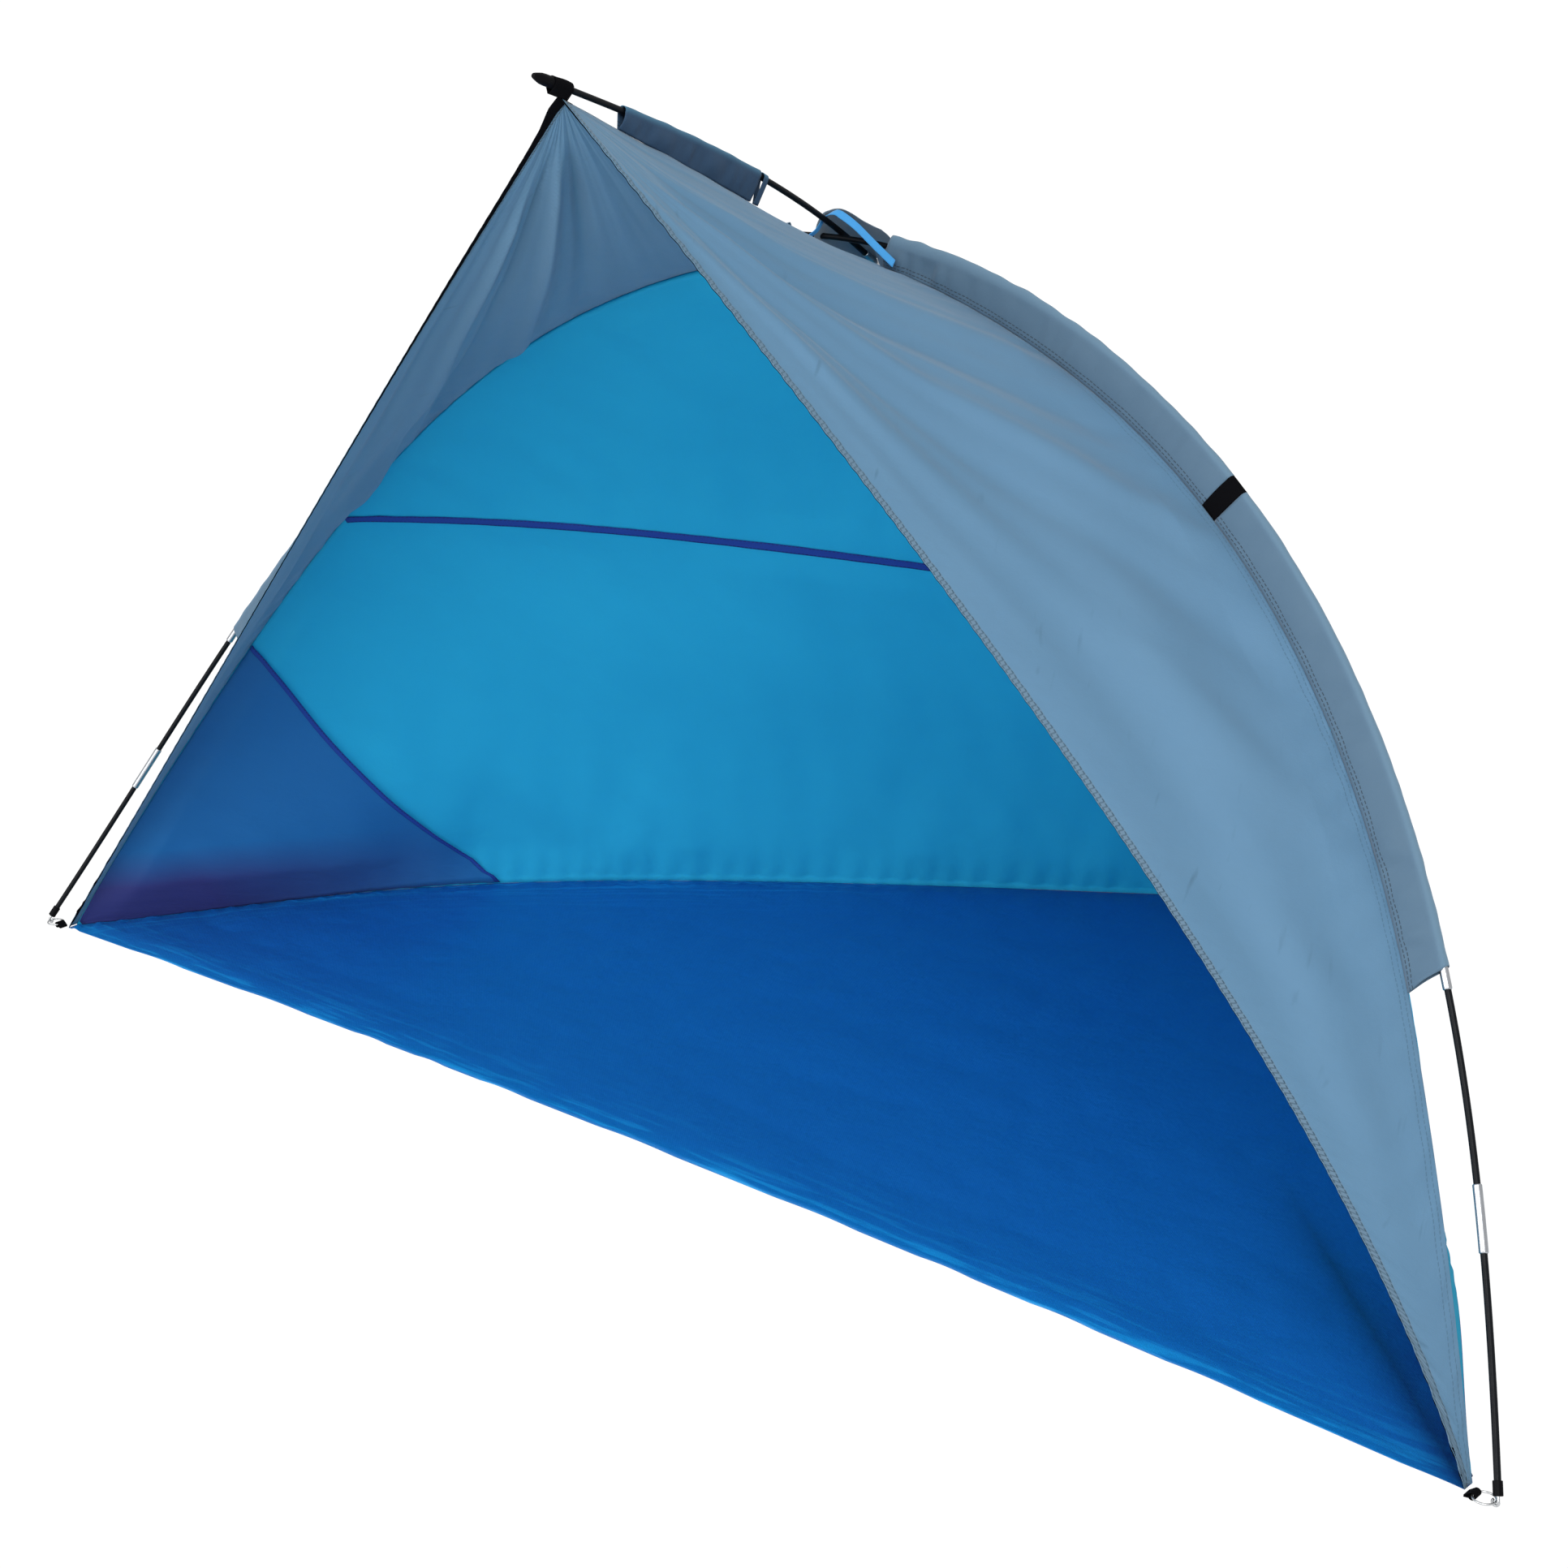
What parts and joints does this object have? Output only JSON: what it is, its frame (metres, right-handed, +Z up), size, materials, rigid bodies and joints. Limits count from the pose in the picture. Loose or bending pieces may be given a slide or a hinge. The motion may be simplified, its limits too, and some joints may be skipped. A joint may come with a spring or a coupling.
{
  "type": "beach tent",
  "caption": "Open-fronted beach tent: an arched pole and a ridge pole in sleeves hold grey side panels and a blue back over a ground sheet, pinned at ringed feet.",
  "frame": {"origin": "on the ground under the ground sheet's middle, on the tent's plane of symmetry, 0.45 m behind the line between the two front feet", "axes": "+Z up, the mouth faces -Y, +X from the left front foot to the right front foot as seen from in front"},
  "size_m": [2.21, 1.3353, 1.2506],
  "materials": {
    "canopy": "coated woven polyester, matt, blue-grey",
    "wall": "coated woven polyester, matt, bright blue",
    "ground": "woven polyethylene sheet, slightly glossy, dark blue",
    "tape": "flat seam tape, matt, navy",
    "webbing": "woven webbing, matt, black",
    "tie": "woven ribbon, light blue",
    "fibreglass": "pultruded fibreglass rod with plated ferrule, black",
    "elastic": "braided elastic cord, white",
    "moulding": "moulded plastic, satin, black",
    "steel": "zinc-plated wire"
  },
  "bodies": {
    "tent": {"arch_pole_section_01": "fibreglass", "arch_pole_section_02": "fibreglass", "arch_pole_section_03": "fibreglass", "arch_pole_section_04": "fibreglass", "arch_pole_section_05": "fibreglass", "arch_pole_section_06": "fibreglass", "arch_pole_section_07": "fibreglass", "arch_pole_section_08": "fibreglass", "arch_pole_section_09": "fibreglass", "arch_pole_section_10": "fibreglass", "arch_pole_section_11": "fibreglass", "arch_pole_section_12": "fibreglass", "arch_pole_section_13": "fibreglass", "ridge_pole_section_1": "fibreglass", "ridge_pole_section_2": "fibreglass", "ridge_pole_section_3": "fibreglass", "ridge_pole_section_4": "fibreglass", "ridge_pole_section_5": "fibreglass", "ridge_pole_section_6": "fibreglass", "arch_shock_cord": "elastic", "ridge_shock_cord": "elastic", "left_pole_tip": "moulding", "left_tab": "webbing", "right_pole_tip": "moulding", "right_tab": "webbing", "rear_pole_tip": "moulding", "rear_tab": "webbing", "front_end_cap": "moulding", "side_panel_left": "canopy", "side_panel_right": "canopy", "arch_sleeve_lower_left": "canopy", "arch_sleeve_lower_right": "canopy", "arch_sleeve_upper_left": "canopy", "arch_sleeve_upper_right": "canopy", "front_ridge_sleeve": "canopy", "rear_ridge_sleeve": "canopy", "ridge_strap": "canopy", "crossing_hood": "canopy", "hem_tape_left": "webbing", "hem_tape_right": "webbing", "gap_band_left": "webbing", "gap_band_right": "webbing", "apex_band": "webbing", "back_panel_upper": "wall", "back_panel_lower": "wall", "ground_sheet": "ground", "corner_pocket_left": "ground", "corner_pocket_right": "ground", "back_seam_tape": "tape", "crossing_tie": "tie"},
    "left_pin": {"left_pin": "steel"},
    "left_ring": {"left_ring": "steel"},
    "right_pin": {"right_pin": "steel"},
    "right_ring": {"right_ring": "steel"},
    "rear_pin": {"rear_pin": "steel"},
    "rear_ring": {"rear_ring": "steel"}
  },
  "joints": [
    {"name": "left_pin_slide", "type": "slide", "parent": "tent", "child": "left_pin", "axis": [-0.3503, -0.4429, -0.8253], "range_m": [0, 0.045], "deforming": ["left_tab"]},
    {"name": "left_ring_rock", "type": "hinge", "parent": "left_pin", "child": "left_ring", "pos_m": [-1.08849, -0.45309, 0.005], "axis": [1, 0, 0], "range_deg": [-12, 12]},
    {"name": "right_pin_slide", "type": "slide", "parent": "tent", "child": "right_pin", "axis": [0.3503, -0.4429, -0.8253], "range_m": [0, 0.045], "deforming": ["right_tab"]},
    {"name": "right_ring_rock", "type": "hinge", "parent": "right_pin", "child": "right_ring", "pos_m": [1.08849, -0.45309, 0.005], "axis": [-1, 0, 0], "range_deg": [-12, 12]},
    {"name": "rear_pin_slide", "type": "slide", "parent": "tent", "child": "rear_pin", "axis": [0, 0.4768, -0.879], "range_m": [0, 0.045], "deforming": ["rear_tab"]},
    {"name": "rear_ring_rock", "type": "hinge", "parent": "rear_pin", "child": "rear_ring", "pos_m": [0, 0.72616, 0.005], "axis": [0, -1, 0], "range_deg": [-12, 12]}
  ]
}
